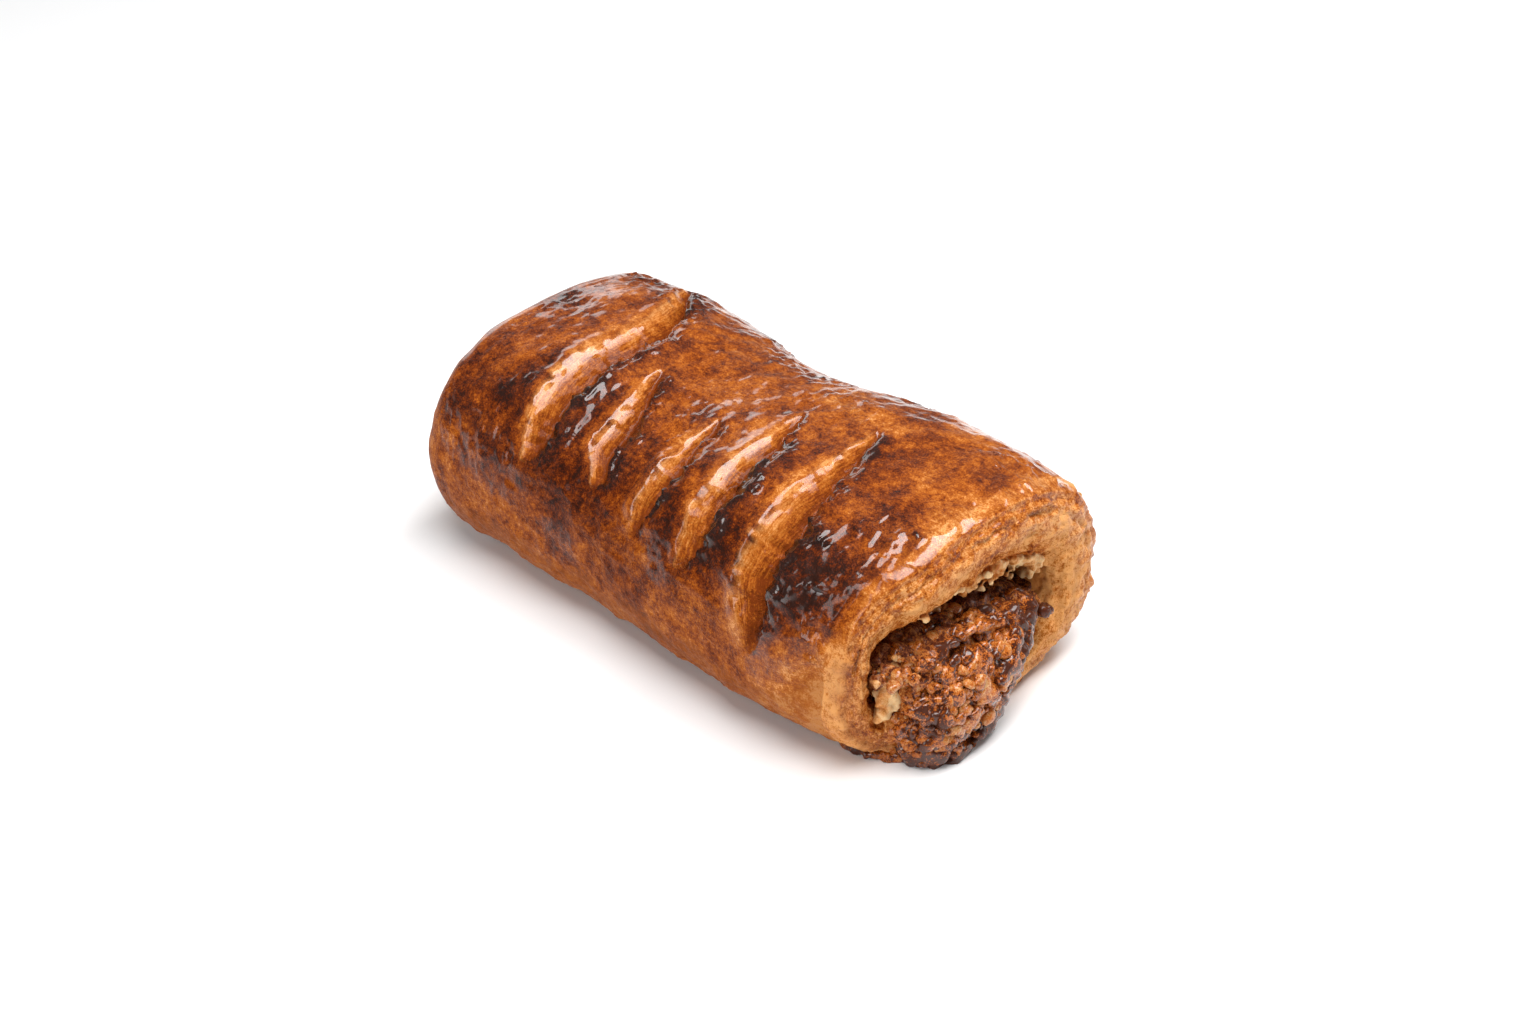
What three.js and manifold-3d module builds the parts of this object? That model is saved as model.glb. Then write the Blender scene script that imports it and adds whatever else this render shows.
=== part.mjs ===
// Walnut roll: laminated sweet dough folded round a chopped-walnut filling, slashed across
// the top, glazed and baked. Two solids: the dough, open at both cut ends, and the filling
// that runs through it and spills over the lower lip at the near end.
//
// Millimetres, +Z up. X is the long axis, with the open spilling end at +X. The roll rests
// on Z = 0 and the origin is under the middle of its bounding box.

import * as THREE from 'three';
import { mergeVertices } from 'three/addons/utils/BufferGeometryUtils.js';
import Module from 'manifold-3d';

const wasm = await Module();
wasm.setup();

// ---------------------------------------------------------------- driving dimensions

const GAP = 0.4; // clearance between filling and dough

const LOAF = {
  half: 53, // half length of the crust, up to where the end faces begin to round over
  width: 68.7,
  height: 44.6,
  widest: 0.43, // height of the widest level, as a fraction of the height
  sag: 1.5, // how far the round underside would reach below the tray, and is flattened
  sideCurve: 2.7, // superellipse powers of the section: sides, top and underside
  topCurve: 2.35,
  underCurve: 2.75,
};

// The roll is pulled in near its middle, and its middle leans a little towards -Y.
const WAIST = { depth: 0.065, at: -8, reach: 20, lean: 1.2, leanReach: 25 };
const TAPER = { start: 20, end: 62, nearWidth: 0.1, farWidth: 0.09, nearHeight: 0.03, farHeight: 0.07 };
const END = { bulge: 6.4, curve: 2.6, corner: 2.3, nearUndercut: 3, farUndercut: 5.5 }; // puffed ends

const MOUTH = { y: -5, z: 19.5, halfWidth: 23.5, halfHeight: 12.5, curve: 2.2 }; // near opening
const FAR_MOUTH = { y: -2, z: 18, halfWidth: 20, halfHeight: 9, curve: 2.2 };

// Slashes across the top: where the upper crust ends (x), how wide the cut gapes, the angles
// from the top of the section where it begins and ends (positive towards -Y) and its depth.
const SLASHES = [
  { x: -33.5, gape: 7.0, from: -34, to: 62, depth: 3.2 },
  { x: -16.5, gape: 4.4, from: 4, to: 57, depth: 2.8 },
  { x: -0.6, gape: 3.4, from: 12, to: 66, depth: 2.6 },
  { x: 11.6, gape: 5.2, from: -2, to: 68, depth: 3.8 },
  { x: 26.6, gape: 7.6, from: -4, to: 86, depth: 4.8 },
];
const SLASH_WALL = 0.55; // length of the steep wall that closes a cut, as a share of its gape
const SLASH_TIP = 0.35; // gape left at the tips of a cut, as a share of its gape

// The filling: its top sinks away from the dough near both mouths, and a tongue of it hangs
// out over the near lower lip down to the tray.
const FILLING = { near: 60, far: -57.5, nearSink: 8, farSink: 4, sinkReach: 34, roundOver: 3.5 };
const SEAT_SKIM = 0.2; // how far the filling's own skin keeps inside the seat cut for it
const TONGUE = {
  x: 56, y: -12.5, z: 9.5, // centre of the swollen blob
  length: 9.5, halfWidth: 17, halfHeight: 13.5,
  curve: 2.2,
};

const AROUND = 48; // facets round a section
const CRUST_ROWS = 46;
const END_ROWS = 6;
const BORE_ROWS = 8;
const LOG_ROWS = 20;
const BLOB_FACETS = [30, 18]; // round and up the tongue

// ---------------------------------------------------------------- formulas

const signedPower = (v, p) => Math.sign(v) * Math.abs(v) ** p;
const bell = (x, at, reach) => Math.exp(-(((x - at) / reach) ** 2));
const mix = (a, b, t) => a + (b - a) * t;

function smooth(from, to, x) {
  const t = Math.min(1, Math.max(0, (x - from) / (to - from)));
  return t * t * (3 - 2 * t);
}

// Depth cut out of the crust: the upper layer stops at a crest, a slope of bared layers falls
// to the bottom of the cut, and a steep wall rises to the next strip of crust.
function slashDepth(x, angle) {
  const fromTop = THREE.MathUtils.radToDeg(angle) - 90;
  let depth = 0;
  for (const cut of SLASHES) {
    const middle = (cut.from + cut.to) / 2;
    const across = (fromTop - middle) / ((cut.to - cut.from) / 2);
    if (Math.abs(across) >= 1) continue;
    const open = Math.sqrt(1 - across * across);
    const t = (x - cut.x) / (cut.gape * mix(SLASH_TIP, 1, open));
    const profile = t < 1 ? smooth(0, 1, t) : 1 - smooth(1, 1 + SLASH_WALL, t);
    depth += cut.depth * open * profile;
  }
  return depth;
}

// Outer section of the roll at x; angle 0 is +Y, a quarter turn is the top.
function crust(x, angle, grow) {
  const near = smooth(TAPER.start, TAPER.end, x) ** 2;
  const far = smooth(-TAPER.start, -TAPER.end, x) ** 2;
  const waist = 1 - WAIST.depth * bell(x, WAIST.at, WAIST.reach);
  const narrowing = 1 - TAPER.nearWidth * near - TAPER.farWidth * far;
  const lowering = 1 - TAPER.nearHeight * near - TAPER.farHeight * far;
  const halfWidth = (LOAF.width / 2) * waist * narrowing;
  const height = LOAF.height * waist * lowering;
  const level = LOAF.widest * height;
  const c = Math.cos(angle);
  const s = Math.sin(angle);
  const y = halfWidth * signedPower(c, 2 / LOAF.sideCurve);
  const rise = s >= 0
    ? signedPower(s, 2 / LOAF.topCurve) * (height - level)
    : signedPower(s, 2 / LOAF.underCurve) * (level + LOAF.sag);
  const scale = 1 + (grow - slashDepth(x, angle)) / Math.hypot(y, rise);
  const lean = WAIST.lean * bell(x, 0, WAIST.leanReach);
  return [y * scale - lean, level + rise * scale];
}

// Section of the hollow that holds the filling, narrowing from the near mouth to the far one.
function hollow(x, angle, shrink) {
  const t = (x + LOAF.half) / (2 * LOAF.half);
  const at = (key) => mix(FAR_MOUTH[key], MOUTH[key], t);
  const y = at('y') + (at('halfWidth') - shrink) * signedPower(Math.cos(angle), 2 / at('curve'));
  const z = at('z') + (at('halfHeight') - shrink) * signedPower(Math.sin(angle), 2 / at('curve'));
  return [y, z];
}

// Where the crust stops and the end face starts to round over, at one angle of one end.
function edge(end, angle) {
  const undercut = (end < 0 ? END.farUndercut : END.nearUndercut) * smooth(0.1, -1, Math.sin(angle));
  const corner = END.corner * smooth(-0.5, -1, Math.cos(angle));
  return end * (LOAF.half - undercut - corner);
}

// A point of an end face; turn runs from 0 at the crust to pi at the mouth.
function endFace(end, turn, angle, grow) {
  const x = edge(end, angle);
  const inward = (1 - Math.cos(turn)) / 2;
  const [oy, oz] = crust(x, angle, grow);
  const [iy, iz] = hollow(x, angle, grow);
  const reach = (END.bulge + grow) * Math.sin(turn) ** (2 / END.curve);
  return [x + end * reach, mix(oy, iy, inward), mix(oz, iz, inward)];
}

// ---------------------------------------------------------------- solids

// Joins rings of points into a surface. Both directions close when looped is true;
// otherwise the first and last ring are capped with a fan.
function skin(rings, looped) {
  const count = rings[0].length;
  const positions = rings.flat(2);
  const index = [];
  const rows = looped ? rings.length : rings.length - 1;
  for (let r = 0; r < rows; r += 1) {
    const next = (r + 1) % rings.length;
    for (let i = 0; i < count; i += 1) {
      const j = (i + 1) % count;
      const [a, b, c, d] = [r * count + i, r * count + j, next * count + i, next * count + j];
      index.push(a, b, d, a, d, c);
    }
  }
  if (!looped) {
    const last = (rings.length - 1) * count;
    for (let i = 1; i < count - 1; i += 1) {
      index.push(0, i + 1, i);
      index.push(last, last + i, last + i + 1);
    }
  }
  const geometry = new THREE.BufferGeometry();
  geometry.setAttribute('position', new THREE.Float32BufferAttribute(positions, 3));
  geometry.setIndex(index);
  return geometry;
}

function toSolid(geometry) {
  const bare = geometry.clone();
  bare.deleteAttribute('normal');
  bare.deleteAttribute('uv');
  const merged = mergeVertices(bare, 1e-4);
  return new wasm.Manifold(new wasm.Mesh({
    numProp: 3,
    vertProperties: new Float32Array(merged.attributes.position.array),
    triVerts: new Uint32Array(merged.index.array),
  }));
}

function toGeometry(solid) {
  const { vertProperties, triVerts } = solid.getMesh();
  const geometry = new THREE.BufferGeometry();
  geometry.setAttribute('position', new THREE.BufferAttribute(vertProperties, 3));
  geometry.setIndex(new THREE.BufferAttribute(triVerts, 1));
  geometry.computeVertexNormals();
  return geometry;
}

const angles = Array.from({ length: AROUND }, (_, i) => (2 * Math.PI * i) / AROUND);
const steps = (count, from, to) => Array.from({ length: count }, (_, i) => mix(from, to, i / (count - 1)));

// The dough as one loop of rings: crust from far to near, near end face, hollow back to the
// far end, far end face. Grown by an offset it also serves to clear a seat for the filling.
function doughSkin(grow) {
  const rings = [];
  for (const t of steps(CRUST_ROWS, 0, 1)) {
    rings.push(angles.map((angle) => {
      const x = mix(edge(-1, angle), edge(1, angle), t);
      return [x, ...crust(x, angle, grow)];
    }));
  }
  for (const turn of steps(END_ROWS + 2, 0, Math.PI).slice(1, -1)) {
    rings.push(angles.map((angle) => endFace(1, turn, angle, grow)));
  }
  for (const t of steps(BORE_ROWS, 1, 0)) {
    rings.push(angles.map((angle) => {
      const x = mix(edge(-1, angle), edge(1, angle), t);
      return [x, ...hollow(x, angle, grow)];
    }));
  }
  for (const turn of steps(END_ROWS + 2, Math.PI, 0).slice(1, -1)) {
    rings.push(angles.map((angle) => endFace(-1, turn, angle, grow)));
  }
  return skin(rings, true);
}

// The block below the tray, cut off everything so that the roll rests on a flat face.
function belowTray() {
  const depth = 20;
  const block = new THREE.BoxGeometry(300, 200, depth);
  block.translate(0, 0, -depth / 2);
  return toSolid(block);
}

function pastryRoll() {
  return toSolid(doughSkin(0)).subtract(belowTray());
}

// The filling's own run through the hollow, with its top sunk towards both mouths and its
// ends rounded over.
function fillingLog() {
  const { roundOver } = FILLING;
  const rings = steps(LOG_ROWS, 0, 1).map((t) => {
    const x = mix(FILLING.far, FILLING.near, (1 - Math.cos(Math.PI * t)) / 2);
    const toEnd = Math.min(x - FILLING.far, FILLING.near - x);
    const over = Math.max(0, 1 - toEnd / roundOver);
    const inset = GAP + SEAT_SKIM + roundOver * (1 - Math.sqrt(Math.max(0.02, 1 - over * over)));
    const sink = FILLING.nearSink * smooth(FILLING.near - FILLING.sinkReach, FILLING.near, x)
      + FILLING.farSink * smooth(FILLING.far + FILLING.sinkReach, FILLING.far, x);
    const station = THREE.MathUtils.clamp(x, -LOAF.half, LOAF.half);
    return angles.map((angle) => {
      const [y, z] = hollow(station, angle, inset);
      return [x, y, z - sink * smooth(0, 1, Math.sin(angle))];
    });
  });
  return toSolid(skin(rings, false));
}

// The swollen tongue: a superellipsoid that the tray and the dough cut into shape.
function fillingTongue() {
  const blob = new THREE.SphereGeometry(1, ...BLOB_FACETS);
  blob.rotateX(Math.PI / 2);
  const position = blob.attributes.position;
  for (let i = 0; i < position.count; i += 1) {
    const x = signedPower(position.getX(i), 2 / TONGUE.curve);
    const y = signedPower(position.getY(i), 2 / TONGUE.curve);
    const z = signedPower(position.getZ(i), 2 / TONGUE.curve);
    position.setXYZ(
      i,
      TONGUE.x + TONGUE.length * x,
      TONGUE.y + TONGUE.halfWidth * y,
      TONGUE.z + TONGUE.halfHeight * z,
    );
  }
  return toSolid(blob);
}

function walnutFilling() {
  return fillingLog()
    .add(fillingTongue())
    .subtract(toSolid(doughSkin(GAP)))
    .subtract(belowTray());
}

// ---------------------------------------------------------------- materials and scene

const crustFinish = new THREE.MeshStandardMaterial({
  name: 'glazed_crust', color: 0x9c4e14, roughness: 0.35, metalness: 0,
});
const nutFinish = new THREE.MeshStandardMaterial({
  name: 'walnut_paste', color: 0x6e3a1b, roughness: 0.6, metalness: 0,
});

function addPart(parent, name, solid, material) {
  const mesh = new THREE.Mesh(toGeometry(solid), material);
  mesh.name = name;
  parent.add(mesh);
  return mesh;
}

const walnutRoll = new THREE.Group();
walnutRoll.name = 'walnut_roll';
addPart(walnutRoll, 'pastry_roll', pastryRoll(), crustFinish);
addPart(walnutRoll, 'walnut_filling', walnutFilling(), nutFinish);

// Centre the bounding box over the origin; the base already lies at Z = 0.
const box = new THREE.Box3().setFromObject(walnutRoll);
const centre = box.getCenter(new THREE.Vector3());
walnutRoll.position.set(-centre.x, -centre.y, 0);
walnutRoll.updateMatrixWorld(true);

export default walnutRoll;
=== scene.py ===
"""Walnut roll: a glazed laminated pastry folded round a walnut filling.

The add-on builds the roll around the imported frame: the risen and slashed dough, the
filling that runs through it, the nut pieces and torn dough at its mouth, the scorched
syrup under its near corner, and a plain stage to look at it on. Sizes inside the script
are millimetres unless a name says otherwise; finished meshes are in metres.
"""

import math

import bmesh
import bpy
import numpy as np
from mathutils import Matrix, Vector


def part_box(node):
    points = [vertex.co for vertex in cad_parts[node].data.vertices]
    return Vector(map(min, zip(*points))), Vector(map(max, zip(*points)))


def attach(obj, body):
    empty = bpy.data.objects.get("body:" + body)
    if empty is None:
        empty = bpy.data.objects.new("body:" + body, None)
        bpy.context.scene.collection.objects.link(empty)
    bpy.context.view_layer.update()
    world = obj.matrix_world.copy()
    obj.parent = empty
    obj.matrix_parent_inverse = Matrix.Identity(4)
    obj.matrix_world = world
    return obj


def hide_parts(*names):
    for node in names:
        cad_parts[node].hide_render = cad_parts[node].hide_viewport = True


bl_info = {
    "name": "Walnut Roll",
    "version": (1, 0, 0),
    "blender": (4, 5, 0),
    "location": "View3D > Sidebar > Walnut Roll",
    "description": "Builds a glazed walnut roll, its filling and a plain stage",
    "category": "Add Mesh",
}

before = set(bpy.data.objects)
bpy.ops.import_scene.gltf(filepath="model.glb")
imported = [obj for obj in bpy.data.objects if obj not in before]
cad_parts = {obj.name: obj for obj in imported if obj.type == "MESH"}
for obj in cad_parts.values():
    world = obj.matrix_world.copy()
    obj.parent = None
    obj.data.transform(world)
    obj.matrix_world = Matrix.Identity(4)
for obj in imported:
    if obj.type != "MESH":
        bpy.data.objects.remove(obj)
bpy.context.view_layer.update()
DOUGH_BOX = [np.array(corner) * 1000 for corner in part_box("pastry_roll")]
FILLING_BOX = [np.array(corner) * 1000 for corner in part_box("walnut_filling")]

MM = 0.001
TURN = 2 * math.pi

# ---------------------------------------------------------------- shape of the roll

# Slashes across the top: where the upper crust ends (x), the gape, the angles from the top
# of the section where it begins and ends (towards -Y), its depth, and how far the crest
# drifts along x at its upper and lower tips.
SLASHES = (
    dict(x=-34.0, gape=6.0, start=-40, stop=66, depth=3.4, upper=-8.0, lower=4.0),
    dict(x=-17.0, gape=3.9, start=3, stop=59, depth=2.4, upper=-3.0, lower=4.5),
    dict(x=-0.8, gape=3.2, start=8, stop=70, depth=2.2, upper=0.5, lower=-0.5),
    dict(x=11.4, gape=4.6, start=-2, stop=72, depth=3.3, upper=0.3, lower=1.6),
    dict(x=26.3, gape=6.3, start=-7, stop=90, depth=4.1, upper=-0.8, lower=4.2),
)
SLASH_TIP = 0.10  # gape left at the tips, as a share of the widest gape
WALL = 1.7  # width of the steep wall that closes a slash
SHOULDER = 6.5  # how far the next strip takes to rise to its crown

TAPER = dict(start=20, stop=62, near_width=0.10, far_width=0.045, near_height=0.015, far_height=0.054)
WAIST = dict(depth=0.065, x=-8, reach=20, lean=1.2, lean_reach=25, near_lean=0.8)
CURVES = dict(side=2.7, top=2.35, under=2.75, end=2.05, mouth=2.2)
END = dict(near_corner=5.2, far_corner=1.2, near_undercut=1.2, far_undercut=3.6)
MOUTH = dict(y=-3.2, z=19.2, half_width=21.6, half_height=12.2)
FAR_MOUTH = dict(y=-2.0, z=18.0, half_width=20.0, half_height=9.0)
WIDEST = 0.43  # height of the widest level, as a share of the height
SAG = 1.5  # how far the round underside would reach below the tray

AROUND = 296
CRUST_ROWS = 250
NEAR_ROWS = 46
BORE_ROWS = 12
FAR_ROWS = 24
SEAM = dict(angle=-118, wander=3.5, drop=1.5, lap=0.6)  # where the dough overlaps underneath
ROLL_OVER = 0.55  # how far the glazed edge turns down towards the near end face
FACE_SPREAD = 9.0  # distance across the layers of an end face

# Filling that has run out of the near mouth: height, middle and half width along y, and
# how far forward it stands.
SPILL = (
    (-2.0, -8.8, 8.6, 59.4),
    (2.0, -9.2, 9.8, 61.4),
    (7.0, -8.8, 11.8, 62.9),
    (12.0, -6.8, 13.2, 63.5),
    (16.5, -4.6, 14.6, 63.0),
    (19.5, -2.8, 15.6, 61.0),
    (22.0, -4.6, 13.0, 57.5),
    (24.0, -7.0, 8.5, 53.5),
)
SPILL_BACK = 44.0  # x of the hidden back of the spill
# Route along the tray of the syrup that leaked out and scorched, as x and y.
FOOT_PATH = ((42.0, -21.2), (46.5, -21.8), (51.0, -20.2), (55.0, -17.8), (58.0, -13.5))
# Torn dough in the mouth: the stretch of y it hangs over, how many scraps, how far they fall.
TORN = (
    (-4.5, 5.5, 120, 7.5),
    (7.5, 16.0, 120, 7.0),
    (-16.5, -12.0, 26, 3.0),
    (-10.5, -5.5, 20, 2.2),
)
PALE_CRUMBS = dict(count=150, middle=(53.9, -21.2, 14.0), spread=(0.8, 1.5, 2.9))
FILLING_NEAR = 53.6  # x where the filling inside the dough ends behind the spill
FILLING_CUT = 22.0  # x where the rough near part of the filling takes over from its core
FAR_CUT = -43.0  # x where the rough far part takes over
FILLING_FAR = -55.5
OVERLAP = 1.0  # how far the core runs into both rough parts
FILLING_GAP = 0.5  # left between the filling and the dough
NEAR_SINK = 12.5  # how far the top of the filling has sunk at each mouth
FAR_SINK = 4.0
FACE_BITS = 420  # lumps tried over the far face of the filling
VOXEL = 0.36
SMALL_VOXEL = 0.33
CRUMB_VOXEL = 0.3
EASE = 1.0  # how far inside its box a shape starts to be bent back

# The stage: the floor in metres, the lights as place and size in metres and power in
# watts, and the camera, which looks at a point given in millimetres.
FLOOR_HALF = 12.0
LIGHTS = (
    ("overhead_strip", (0.13, 0.04, 0.60), (0.27, 0.85), 7.6),
    ("back_card", (-0.95, 0.45, 0.20), (0.60, 0.36), 1.4),
    ("right_card", (0.80, 0.62, 0.30), (0.40, 0.40), 1.7),
    ("front_strip", (0.08, -0.72, 0.40), (0.18, 0.50), 2.2),
)
AMBIENT = dict(colour=(0.97, 0.98, 1.0, 1), strength=0.15)
LOOK_AT = (3.81, 0, 19.1)
VIEW = dict(azimuth=44.43, elevation=34.0, distance=0.480)
LENS = 60.03
SENSOR = 36.0


def sizes():
    return bpy.context.scene.walnut_roll_sizes


def colours():
    return bpy.context.scene.walnut_roll_colours


# ---------------------------------------------------------------- number fields
# After the points, noise, fractal and ridged take the size of the lumps and then a seed.

HASH = (374761393, 668265263, 1440662683, 1274126177)
HASH_END = 2246822519
LOW_32 = 0xFFFFFFFF
LOW_24 = 0xFFFFFF


def power(value, exponent):
    return np.sign(value) * np.abs(value) ** exponent


def smooth(start, stop, value):
    t = np.clip((value - start) / (stop - start), 0, 1)
    return t * t * (3 - 2 * t)


def bell(value, centre, reach):
    return np.exp(-(((value - centre) / reach) ** 2))


def mix(a, b, t):
    return a + (b - a) * t


def lattice(cell, seed):
    """A fixed pseudo-random number from 0 to 1 for each whole-number cell."""
    x, y, z = (cell[..., k].astype(np.int64) & LOW_32 for k in range(3))
    h = (x * HASH[0] + y * HASH[1] + z * HASH[2] + seed * HASH[3]) & LOW_32
    h = ((h ^ (h >> 13)) * HASH[3]) & LOW_32
    h = ((h ^ (h >> 15)) * HASH_END) & LOW_32
    return ((h ^ (h >> 16)) & LOW_24) / float(LOW_24)


def noise(points, size, seed):
    """Smooth value noise from -1 to 1 with lumps about size wide."""
    p = points / size
    base = np.floor(p)
    f = p - base
    f = f * f * f * (f * (f * 6 - 15) + 10)
    total = 0.0
    for corner in np.ndindex(2, 2, 2):
        wx, wy, wz = (np.where(side, f[..., k], 1 - f[..., k]) for k, side in enumerate(corner))
        total = total + wx * wy * wz * lattice(base + corner, seed)
    return total * 2 - 1


def fractal(points, size, seed, octaves=3):
    total = 0.0
    for k in range(octaves):
        total = total + noise(points, size / 2**k, seed + 31 * k) / 2**k
    return total / (2 - 0.5 ** (octaves - 1))


def ridged(points, size, seed, sharpness=2.0):
    """Sharp-crested wrinkles from 0 to 1, bent by a slower field so that they wander."""
    bend = np.stack([noise(points, size * 1.7, seed + 3 + k) for k in range(3)], -1) * size * 0.5
    coarse = (1 - np.abs(noise(points + bend, size, seed))) ** sharpness
    small = (1 - np.abs(noise(points + bend, size * 0.5, seed + 17))) ** sharpness
    return 0.7 * coarse + 0.3 * small


# ---------------------------------------------------------------- sections of the roll


def edge(end, angle):
    """Where the crust stops and an end face starts to round over."""
    side = "near" if end > 0 else "far"
    inset = END[side + "_undercut"] * smooth(0.1, -1, np.sin(angle))
    inset = inset + END[side + "_corner"] * smooth(-0.35, -0.95, np.cos(angle))
    return end * (sizes().half_length / MM - inset)


def crust(x, angle):
    """Outer section at x; angle 0 is +Y and a quarter turn is the top."""
    near = smooth(TAPER["start"], TAPER["stop"], x) ** 2
    far = smooth(-TAPER["start"], -TAPER["stop"], x) ** 2
    waist = 1 - WAIST["depth"] * bell(x, WAIST["x"], WAIST["reach"])
    half_width = sizes().width / MM / 2 * waist
    half_width = half_width * (1 - TAPER["near_width"] * near - TAPER["far_width"] * far)
    height = sizes().height / MM * waist * (1 - TAPER["near_height"] * near - TAPER["far_height"] * far)
    level = WIDEST * height
    s = np.sin(angle)
    y = half_width * power(np.cos(angle), 2 / CURVES["side"])
    above = power(s, 2 / CURVES["top"]) * (height - level)
    below = power(s, 2 / CURVES["under"]) * (level + SAG)
    lean = WAIST["lean"] * bell(x, 0, WAIST["lean_reach"]) - WAIST["near_lean"] * near
    return y - lean, level + np.where(s >= 0, above, below)


def hollow(x, angle, shrink=0.0):
    """Section of the space inside the dough, wider at the near mouth than at the far one."""
    half = sizes().half_length / MM
    t = np.clip((x + half) / (2 * half), 0, 1)
    at = {key: mix(FAR_MOUTH[key], MOUTH[key], t) for key in MOUTH}
    y = at["y"] + (at["half_width"] - shrink) * power(np.cos(angle), 2 / CURVES["mouth"])
    z = at["z"] + (at["half_height"] - shrink) * power(np.sin(angle), 2 / CURVES["mouth"])
    return y, z


def even_angles(count):
    """Angles that start under the roll and step evenly round its section, wider underneath."""
    angle = np.linspace(-math.pi / 2, 1.5 * math.pi, 4001)
    y, z = crust(np.zeros_like(angle), angle)
    steps = np.hypot(np.diff(y), np.diff(np.maximum(z, 0))) * np.where(z[1:] < 0.5, 0.3, 1)
    run = np.concatenate([[0], np.cumsum(steps)])
    return np.interp(np.linspace(0, run[-1], count + 1)[:-1], run, angle)


def grid_normals(points):
    """Unit normals of a grid of points that closes on itself both ways."""
    along = np.roll(points, -1, 0) - np.roll(points, 1, 0)
    across = np.roll(points, -1, 1) - np.roll(points, 1, 1)
    normal = np.cross(across, along)
    return normal / np.maximum(np.linalg.norm(normal, axis=-1, keepdims=True), 1e-9)


class DoughGrid:
    """The dough as a closed grid: crust, near end face, hollow and far end face in turn."""

    def __init__(self):
        angle = even_angles(AROUND)[None, :]
        far, near = edge(-1, angle), edge(1, angle)
        bulge = sizes().end_bulge / MM
        blocks = []
        t = np.linspace(0, 1, CRUST_ROWS)[:, None]
        x = mix(far, near, t)
        y, z = crust(x, angle)
        blocks.append((x, y, z, 0 * x, 0 * x))
        blocks.append(self.end_face(1, near, angle, bulge, NEAR_ROWS))
        t = np.linspace(1, 0, BORE_ROWS)[:, None]
        x = mix(far, near, t)
        y, z = hollow(x, angle)
        blocks.append((x, y, z, 0 * x, 0 * x + 1))
        blocks.append([part[::-1] for part in self.end_face(-1, far, angle, bulge, FAR_ROWS)])
        x, y, z, self.face, self.inward = (np.concatenate(part) for part in zip(*blocks))
        self.points = np.stack([x, y, z], -1)
        self.angle = np.broadcast_to(angle, x.shape)
        self.from_top = np.degrees(self.angle) - 90  # positive down the -Y side
        self.row_share = self.rows_by_weight()

    def end_face(self, end, start, angle, bulge, rows):
        turn = np.linspace(0, math.pi, rows + 2)[1:-1, None]
        inward = (1 - np.cos(turn)) / 2 + 0 * angle
        x = start + end * bulge * np.sin(turn) ** (2 / CURVES["end"])
        outer_y, outer_z = crust(start, angle)
        inner_y, inner_z = hollow(start, angle)
        y = mix(outer_y, inner_y, inward)
        z = mix(outer_z, inner_z, inward)
        return x, y, z, end + 0 * x, inward

    def rows_by_weight(self):
        """Share of the texture height that each row takes; the hidden hollow gets little."""
        weight = np.concatenate([
            np.full(CRUST_ROWS, 0.43),
            np.full(NEAR_ROWS, 0.5),
            np.full(BORE_ROWS, 1.0),
            np.full(FAR_ROWS, 0.6),
        ])
        run = np.concatenate([[0], np.cumsum(weight)])
        return run / run[-1]

    def displace(self, distance):
        self.points = self.points + grid_normals(self.points) * distance[..., None]


# ---------------------------------------------------------------- relief of the dough


def slash_fields(x, from_top):
    """Depth and masks of the five slashes over the crust."""
    names = ("depth", "bared", "sink", "wall", "shoulder", "crease_shade", "crest", "across", "strip")
    fields = {key: np.zeros(x.shape) for key in names}
    for number, cut in enumerate(SLASHES):
        middle = (cut["start"] + cut["stop"]) / 2
        u = (from_top - middle) / ((cut["stop"] - cut["start"]) / 2)
        inside = np.abs(u) < 1
        open_ = np.sqrt(np.clip(1 - u * u, 0, 1))
        gape = cut["gape"] * mix(SLASH_TIP, 1, open_**1.35) * (1 + 0.2 * u)
        along = np.stack([from_top, 0 * x, 0 * x + 7 * number], -1)
        wobble = 0.55 * noise(along, 11.0, 5) + 0.22 * noise(along, 4.0, 6)
        crest = cut["x"] + cut["upper"] * smooth(0.3, 1, -u) + cut["lower"] * smooth(0.3, 1, u) + wobble
        t = (x - crest) / gape
        ragged = 0.35 * noise(along, 2.6, 8) + 0.2 * noise(along, 1.3, 9)
        wall = WALL * mix(0.5, 1, open_)
        past = (x - crest - gape) / wall + ragged / wall
        fall = np.clip(t, 0, 1)
        slope = 0.62 * fall + 0.38 * fall**2
        rise = 0.55 * smooth(0, 1, past) ** 0.8 + 0.45 * smooth(0, SHOULDER / wall, past) ** 0.7
        profile = np.where(past < 0, slope, 1 - rise)
        fields["depth"] += np.where(inside, cut["depth"] * open_ * profile, 0)
        blur = 0.16 * noise(along + (x / 2)[..., None] * (0, 1, 0), 2.6, 15)
        reach = 0.8 * cut["gape"] + 2.2 * noise(along + (x / 3)[..., None] * (0, 1, 0), 6.0, 14)
        walled = smooth(-0.05, 0.15, past) * smooth(reach, 1.0, past) * smooth(0, 0.4, open_)
        masks = {
            "bared": smooth(-0.10, 0.28, t + blur) * smooth(0.25, -0.1, past) * smooth(0.05, 0.4, open_ + blur),
            "wall": walled,
            "shoulder": walled * smooth(0.3, 1.1, past),
            # The crease mask: the valley floor of each slash, darkened in the colour as painted shade.
            "crease_shade": bell(past, 0.0, 0.35) * smooth(0.05, 0.5, open_),
            "crest": bell(x - crest, -0.8, 1.3) * open_,
            "strip": bell(past, 2.4, 1.2) * open_,
        }
        for key, mask in masks.items():
            fields[key] = np.maximum(fields[key], np.where(inside, mask, 0))
        # How far down the slope a point lies; the colour darkens with it towards the valley as painted shade.
        fields["sink"] = np.where(inside & (t > 0) & (past < 0.4), fall, fields["sink"])
        fields["across"] = np.where(inside & (t > -0.3) & (past < 0.5), t * gape, fields["across"])
    return fields


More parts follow.
